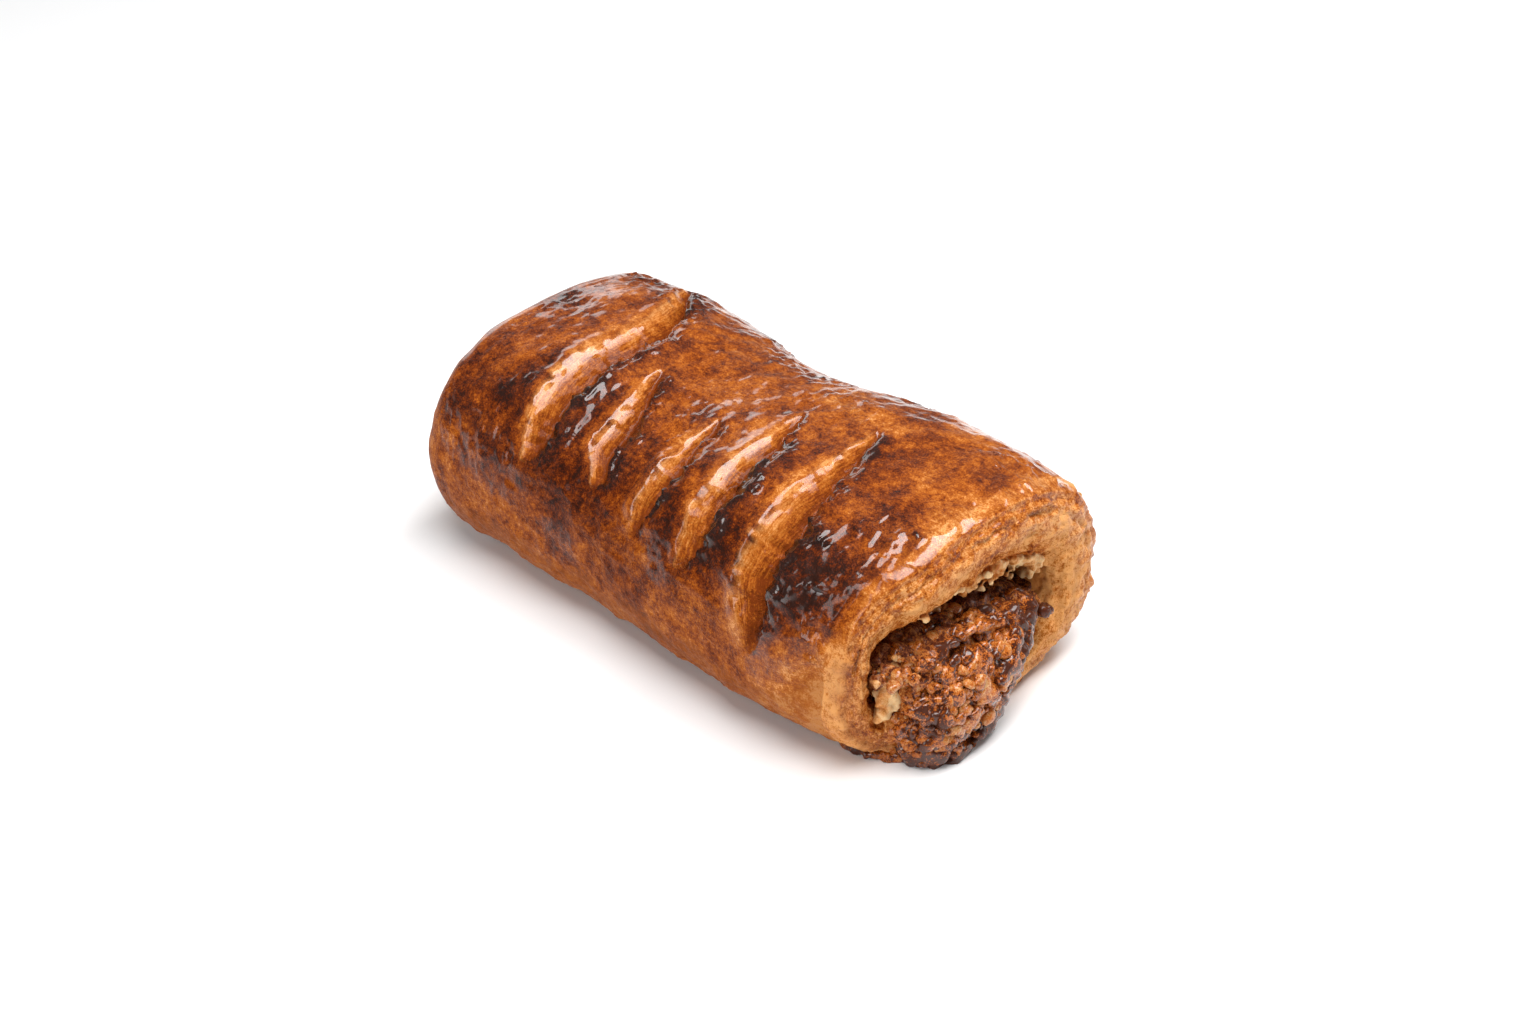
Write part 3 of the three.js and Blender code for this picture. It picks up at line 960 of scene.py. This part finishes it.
def nut_paste():
    """Ground walnuts bound in caramel, toasted at the mouth and scorched at its edges."""
    c = colours()
    material, n, shader = new_material("nut_paste", 0.12)
    burn, inside, pale = (n.attribute(key) for key in ("burn", "inside", "pale"))
    mottle = n.group(baked_mottle(), Blotch=330.0, Speck=1100.0, Contrast=1.4)["Mottle"]
    level = n.plus(n.plus(0.52, n.times(burn, 0.36)), mottle)
    colour = n.ramp(n.minus(level, n.times(pale, 0.3), clamp=True), [
        (0.05, c.nut_pale), (0.26, c.nut), (0.48, c.caramel), (0.70, c.mahogany), (0.92, c.burnt),
    ])
    skin = n.ramp(n.plus(0.5, mottle, clamp=True), [
        (0.2, c.nut), (0.5, c.walnut_skin), (0.8, c.mahogany),
    ])
    n.join(n.blend(n.times(inside, 0.75), colour, skin), shader.inputs["Base Color"])
    n.join(n.plus(0.5, n.times(mottle, 0.4)), shader.inputs["Roughness"])
    crinkle = n.group(glaze_crinkle(), Scale=900.0)
    shine = n.times(n.span(crinkle["Cover"], 0, 1, 0.4, 1.0), n.span(inside, 0, 1, 1.0, 0.35))
    n.join(shine, shader.inputs["Coat Weight"])
    place = n.place()
    grain = n.times(n.noise(place, 2200.0, 3.0, 0.6), 0.6)
    height = n.plus(n.times(n.cells(place, 1300.0), 0.45), grain)
    n.join(n.bump(height, 0.7, 0.0003), shader.inputs["Normal"])
    return material


def chopped_nut(name, blotch=700.0):
    """Walnut bits under a skin of caramel; each bit has a tone of its own."""
    c = colours()
    material, n, shader = new_material(name, 0.10)
    tone, burn = n.attribute("tone"), n.attribute("burn")
    mottle = n.group(baked_mottle(), Blotch=blotch, Speck=1800.0, Contrast=1.1)["Mottle"]
    level = n.plus(n.plus(n.times(tone, 0.55), n.times(burn, 0.5)), 0.04)
    colour = n.ramp(n.plus(level, mottle, clamp=True), [
        (0.0, c.nut_pale), (0.2, c.nut), (0.42, c.caramel), (0.66, c.mahogany), (0.9, c.burnt),
    ])
    n.join(colour, shader.inputs["Base Color"])
    n.join(n.plus(0.4, n.times(mottle, 0.4)), shader.inputs["Roughness"])
    shine = n.times(n.span(tone, 0.1, 0.6, 0.5, 1.0), n.span(burn, 0.4, 1.0, 1.0, 0.45))
    n.join(shine, shader.inputs["Coat Weight"])
    n.join(n.bump(n.noise(n.place(), 2200.0, 3.0, 0.65), 0.6, 0.00025), shader.inputs["Normal"])
    return material


class WALNUTROLL_OT_filling(bpy.types.Operator):
    """Build the walnut filling that runs through the dough and out of its near mouth"""

    bl_idname = "walnut_roll.filling"
    bl_label = "Filling"

    def execute(self, context):
        paste = nut_paste()
        rng = np.random.default_rng(7)
        near_log = closed_loft(log_rings(FILLING_CUT, FILLING_NEAR, 16))
        spill = closed_loft(spill_rings())
        front, _ = spill_surface(rng, 360, -0.5, 24.0)
        lumps = chopped(front, 0.9 + 2.1 * rng.uniform(0, 1, len(front)) ** 2.0, 11)[:2]
        inner = cavity_floor(rng, 260)
        crumbs = chopped(inner, rng.uniform(0.7, 1.7, len(inner)), 13)[:2]
        points, faces = fused(
            "walnut_filling", [near_log, spill, lumps, crumbs],
            lambda p: 0.16 * fractal(p, 1.6, 321, 2) + 0.22 * noise(p, 3.2, 323),
        )
        masks = filling_masks(points)
        add_filling("walnut_filling_front", points, faces, masks, paste, "walnut_filling")
        points, faces = closed_loft(log_rings(FAR_CUT - OVERLAP, FILLING_CUT + OVERLAP, 40))
        masks = filling_masks(points)
        add_filling("walnut_filling_core", points, faces, masks, paste, "walnut_filling")
        rng = np.random.default_rng(17)
        far_log = closed_loft(log_rings(FILLING_FAR, FAR_CUT, 10))
        y, z = rng.uniform(-20, 16, FACE_BITS), rng.uniform(10, 25, FACE_BITS)
        on_face = np.stack([np.full(FACE_BITS, FILLING_FAR + 0.4), y, z], -1)
        on_face = on_face[((y + 2) / 18.5) ** 2 + ((z - 16.5) / 7.0) ** 2 < 1]
        bits = chopped(on_face, rng.uniform(0.8, 2.2, len(on_face)), 19)[:2]
        points, faces = fused(
            "walnut_filling_far", [far_log, bits], lambda p: 0.35 * fractal(p, 1.8, 325, 2), VOXEL * 1.2
        )
        masks = {
            "burn": 0.25 + 0.5 * smooth(0, 0.6, noise(points, 5.0, 327)),
            "inside": np.zeros(len(points)),
            "pale": 0.8 * smooth(0.1, 0.6, noise(points, 4.0, 329)),
        }
        add_filling("walnut_filling_far", points, faces, masks, paste, "walnut_filling")
        return {"FINISHED"}


class WALNUTROLL_OT_nuts(bpy.types.Operator):
    """Scatter chopped walnut over the filling at the near mouth"""

    bl_idname = "walnut_roll.nuts"
    bl_label = "Chopped Walnut"

    def execute(self, context):
        rng = np.random.default_rng(23)
        front, _ = spill_surface(rng, 430, 0.6, 23.5)
        centres = np.concatenate([front + (0.9, 0, 0), cavity_floor(rng, 180)])
        radii = 0.55 + 1.25 * rng.uniform(0, 1, len(centres)) ** 2
        points, faces, ids = chopped(centres, radii, 29, facets=6, flat=0.8)
        masks = {"tone": rng.uniform(0, 1, len(centres))[ids], "burn": burn_mask(points)}
        add_filling("chopped_walnut", points, faces, masks, chopped_nut("chopped_walnut"))
        rng = np.random.default_rng(31)
        edge_bits, side = spill_surface(rng, 1000, 0.3, 21.5)
        beside = side > rng.uniform(0.45, 1.1, 1000)
        low_down = edge_bits[:, 2] < rng.uniform(-1, 5, 1000)
        edge_bits = edge_bits[beside | low_down]
        edge_bits = edge_bits + rng.normal(0, 0.35, edge_bits.shape)
        radii = 0.5 + 1.5 * rng.uniform(0, 1, len(edge_bits)) ** 1.7
        clumps = chopped(edge_bits, radii, 37, facets=6)[:2]
        points, faces = fused(
            "scorched_crumbs", [clumps], lambda p: 0.22 * fractal(p, 1.3, 331, 2), SMALL_VOXEL, relax=1
        )
        masks = {"tone": 0.6 + 0.4 * noise(points, 1.8, 333), "burn": 0.62 + 0.38 * noise(points, 3.0, 335)}
        add_filling("scorched_crumbs", points, faces, masks, chopped_nut("scorched_crumbs", 560.0))
        return {"FINISHED"}


class WALNUTROLL_OT_foot(bpy.types.Operator):
    """Build the scorched syrup that ran out under the near corner"""

    bl_idname = "walnut_roll.foot"
    bl_label = "Scorched Syrup"

    def execute(self, context):
        rng = np.random.default_rng(41)
        count = 230
        t = rng.uniform(0, 1, count)
        stops = np.linspace(0, 1, len(FOOT_PATH))
        x, y = (np.interp(t, stops, np.array(FOOT_PATH)[:, k]) for k in (0, 1))
        spread = rng.uniform(-1, 1, count) * mix(0.9, 2.2, np.sin(math.pi * t))
        centres = np.stack([x + rng.normal(0, 0.5, count), y + spread, rng.uniform(0.1, 1.3, count)], -1)
        blobs = chopped(centres, rng.uniform(0.7, 1.5, count), 43, facets=4)[:2]
        points, faces = fused(
            "scorched_syrup", [blobs], lambda p: 0.2 * fractal(p, 2.0, 341, 2), SMALL_VOXEL, relax=3
        )
        masks = {"tone": 0.55 + 0.45 * noise(points, 3.0, 343), "burn": 0.6 + 0.4 * noise(points, 4.0, 345)}
        add_filling("scorched_syrup", points, faces, masks, chopped_nut("scorched_syrup", 420.0))
        return {"FINISHED"}


class WALNUTROLL_OT_shreds(bpy.types.Operator):
    """Hang torn shreds of dough inside the near mouth"""

    bl_idname = "walnut_roll.shreds"
    bl_label = "Torn Dough"

    def execute(self, context):
        rng = np.random.default_rng(53)
        centres, radii = [], []
        for low, high, count, drop in TORN:
            for y in rng.uniform(low, high, count):
                arch = 1 - np.abs((y - MOUTH["y"]) / MOUTH["half_width"]) ** CURVES["mouth"]
                top = MOUTH["z"] + MOUTH["half_height"] * arch ** (1 / CURVES["mouth"])
                hem = drop * (0.55 + 0.45 * math.sin(y * 2.3) * math.sin(y * 0.9 + 1))
                t = rng.uniform(0, 1) ** 0.8
                centres.append((56.4 - 2.4 * t + rng.normal(0, 0.7), y, top + 0.7 - hem * t))
                radii.append(mix(1.0, 0.6, t) * rng.uniform(0.5, 1.3))
        for _ in range(PALE_CRUMBS["count"]):
            places = zip(PALE_CRUMBS["middle"], PALE_CRUMBS["spread"])
            centres.append([rng.normal(*place) for place in places])
            radii.append(rng.uniform(0.6, 1.5))
        shreds = chopped(np.array(centres), np.array(radii), 59, facets=4, flat=0.5)[:2]
        points, faces = fused(
            "torn_dough", [shreds], lambda p: 0.22 * fractal(p, 1.2, 351, 2), CRUMB_VOXEL
        )
        masks = {"toasted": np.clip(0.30 + 0.7 * fractal(points, 2.4, 353, 2), 0, 1)}
        add_from_points("torn_dough", points, faces, masks, torn_crumb(), DOUGH_BOX)
        return {"FINISHED"}


def torn_crumb():
    """Pale soft crumb of torn dough, golden at its tips."""
    c = colours()
    material, n, shader = new_material("torn_crumb", 0.2)
    mottle = n.group(baked_mottle(), Blotch=500.0, Speck=1600.0, Contrast=0.8)["Mottle"]
    level = n.plus(n.attribute("toasted"), mottle, clamp=True)
    n.join(n.ramp(level, [(0.1, c.crumb), (0.4, c.pale), (0.75, c.golden)]), shader.inputs["Base Color"])
    n.join(n.plus(0.6, n.times(mottle, 0.3)), shader.inputs["Roughness"])
    shader.inputs["Coat Weight"].default_value = 0.15
    n.join(n.bump(n.noise(n.place(), 1900.0, 3.0, 0.6), 0.6, 0.0003), shader.inputs["Normal"])
    return material


class WALNUTROLL_OT_stage(bpy.types.Operator):
    """Set out the floor, the soft lights and the camera"""

    bl_idname = "walnut_roll.stage"
    bl_label = "Stage"

    def execute(self, context):
        scene = context.scene
        mesh = bpy.data.meshes.new("floor")
        corners = [(x * FLOOR_HALF, y * FLOOR_HALF, 0) for x, y in ((-1, -1), (1, -1), (1, 1), (-1, 1))]
        mesh.from_pydata(corners, [], [(0, 1, 2, 3)])
        floor = bpy.data.objects.new("floor", mesh)
        scene.collection.objects.link(floor)
        material, _, shader = new_material("pale_floor")
        shader.inputs["Base Color"].default_value = (*colours().floor, 1)
        shader.inputs["Roughness"].default_value = 0.75
        mesh.materials.append(material)
        world = bpy.data.worlds.new("studio")
        world.use_nodes = True
        background = world.node_tree.nodes["Background"]
        background.inputs["Color"].default_value = AMBIENT["colour"]
        background.inputs["Strength"].default_value = AMBIENT["strength"]
        scene.world = world
        scene.view_settings.view_transform = "Standard"
        target = (Vector(LOOK_AT) + Vector(offset())) * MM
        for name, place, size, power_watts in LIGHTS:
            add_light(name, place, size, power_watts, target)
        camera = bpy.data.cameras.new("camera")
        camera.lens = LENS
        camera.sensor_width = SENSOR
        camera.clip_start = 0.01
        holder = bpy.data.objects.new("camera", camera)
        scene.collection.objects.link(holder)
        aim(holder, VIEW["azimuth"], VIEW["elevation"], VIEW["distance"], target)
        scene.camera = holder
        return {"FINISHED"}


def from_angles(azimuth, elevation):
    a, e = math.radians(azimuth), math.radians(elevation)
    return Vector((math.sin(a) * math.cos(e), -math.cos(a) * math.cos(e), math.sin(e)))


def aim(holder, azimuth, elevation, distance, target):
    """Places an object round a target, looking at it. Azimuth 0 looks along +Y."""
    back = from_angles(azimuth, elevation)
    turn = back.to_track_quat("Z", "Y").to_matrix().to_4x4()
    holder.matrix_world = Matrix.Translation(target + back * distance) @ turn


def add_light(name, place, size, power_watts, target):
    """A rectangular softbox at a place given from the target, in metres, facing it."""
    light = bpy.data.lights.new(name, "AREA")
    light.shape = "RECTANGLE"
    light.size, light.size_y = size
    light.energy = power_watts
    holder = bpy.data.objects.new(name, light)
    bpy.context.scene.collection.objects.link(holder)
    back = Vector(place)
    across = back.cross(Vector((1, 0, 0))).normalized()
    along = across.cross(back).normalized()
    turn = Matrix((along, across, back.normalized())).transposed().to_4x4()
    holder.matrix_world = Matrix.Translation(target + back) @ turn


# ---------------------------------------------------------------- settings and panel


def length(name, description, default_mm):
    return bpy.props.FloatProperty(
        name=name, description=description, default=default_mm * MM, min=0.0, unit="LENGTH", precision=4,
    )


def colour(name, description, default):
    return bpy.props.FloatVectorProperty(
        name=name, description=description, default=default, size=3, min=0.0, max=1.0, subtype="COLOR",
    )


class WalnutRollSizes(bpy.types.PropertyGroup):
    half_length: length("Half Length", "Half the length of the crust between its end faces", 53.0)
    width: length("Width", "Width of the roll at its widest", 68.7)
    height: length("Height", "Height of the roll at its tallest", 44.6)
    end_bulge: length("End Bulge", "How far the cut ends puff out", 6.4)


class WalnutRollColours(bpy.types.PropertyGroup):
    pale: colour("Pale", "Palest bared dough", (0.70, 0.325, 0.105))
    straw: colour("Straw", "Lightly baked bared dough", (0.56, 0.21, 0.052))
    golden: colour("Golden", "Golden crust", (0.42, 0.120, 0.014))
    amber: colour("Amber", "Orange-brown crust", (0.30, 0.068, 0.006))
    chestnut: colour("Chestnut", "Brown crust", (0.165, 0.030, 0.003))
    mahogany: colour("Mahogany", "Dark red-brown crust", (0.072, 0.011, 0.002))
    scorched: colour("Scorched", "Nearly black burnt sugar", (0.022, 0.006, 0.003))
    caramel: colour("Caramel", "Caramel over the filling", (0.44, 0.105, 0.010))
    nut: colour("Walnut", "Toasted walnut flesh", (0.46, 0.17, 0.04))
    nut_pale: colour("Pale Walnut", "Palest walnut flesh and paste", (0.60, 0.32, 0.13))
    crumb: colour("Crumb", "Palest torn crumb of the dough", (0.78, 0.52, 0.26))
    burnt: colour("Burnt Caramel", "Burnt caramel at the edge of the filling", (0.060, 0.017, 0.008))
    walnut_skin: colour("Walnut Skin", "Purple-brown walnut skin inside the mouth", (0.16, 0.05, 0.028))
    matte_side: colour("Matte Side", "Dull crust below the glaze", (0.27, 0.074, 0.015))
    floor: colour("Floor", "Pale floor", (0.9, 0.9, 0.9))


class WALNUTROLL_PT_panel(bpy.types.Panel):
    """Lists the pieces of the roll and the values they are built from"""

    bl_label = "Walnut Roll"
    bl_idname = "WALNUTROLL_PT_panel"
    bl_space_type = "VIEW_3D"
    bl_region_type = "UI"
    bl_category = "Walnut Roll"

    def draw(self, context):
        layout = self.layout
        for operator in OPERATORS:
            layout.operator(operator.bl_idname)
        for settings in (context.scene.walnut_roll_sizes, context.scene.walnut_roll_colours):
            for key in settings.__annotations__:
                layout.prop(settings, key)


OPERATORS = (
    WALNUTROLL_OT_dough,
    WALNUTROLL_OT_filling,
    WALNUTROLL_OT_nuts,
    WALNUTROLL_OT_foot,
    WALNUTROLL_OT_shreds,
    WALNUTROLL_OT_stage,
)
CLASSES = (WalnutRollSizes, WalnutRollColours, *OPERATORS, WALNUTROLL_PT_panel)


def register():
    for item in CLASSES:
        bpy.utils.register_class(item)
    bpy.types.Scene.walnut_roll_sizes = bpy.props.PointerProperty(type=WalnutRollSizes)
    bpy.types.Scene.walnut_roll_colours = bpy.props.PointerProperty(type=WalnutRollColours)


def unregister():
    del bpy.types.Scene.walnut_roll_colours
    del bpy.types.Scene.walnut_roll_sizes
    for item in reversed(CLASSES):
        bpy.utils.unregister_class(item)


def main():
    register()
    bpy.ops.walnut_roll.dough()
    bpy.ops.walnut_roll.filling()
    bpy.ops.walnut_roll.nuts()
    bpy.ops.walnut_roll.foot()
    bpy.ops.walnut_roll.shreds()
    bpy.ops.walnut_roll.stage()


if __name__ == "__main__":
    main()
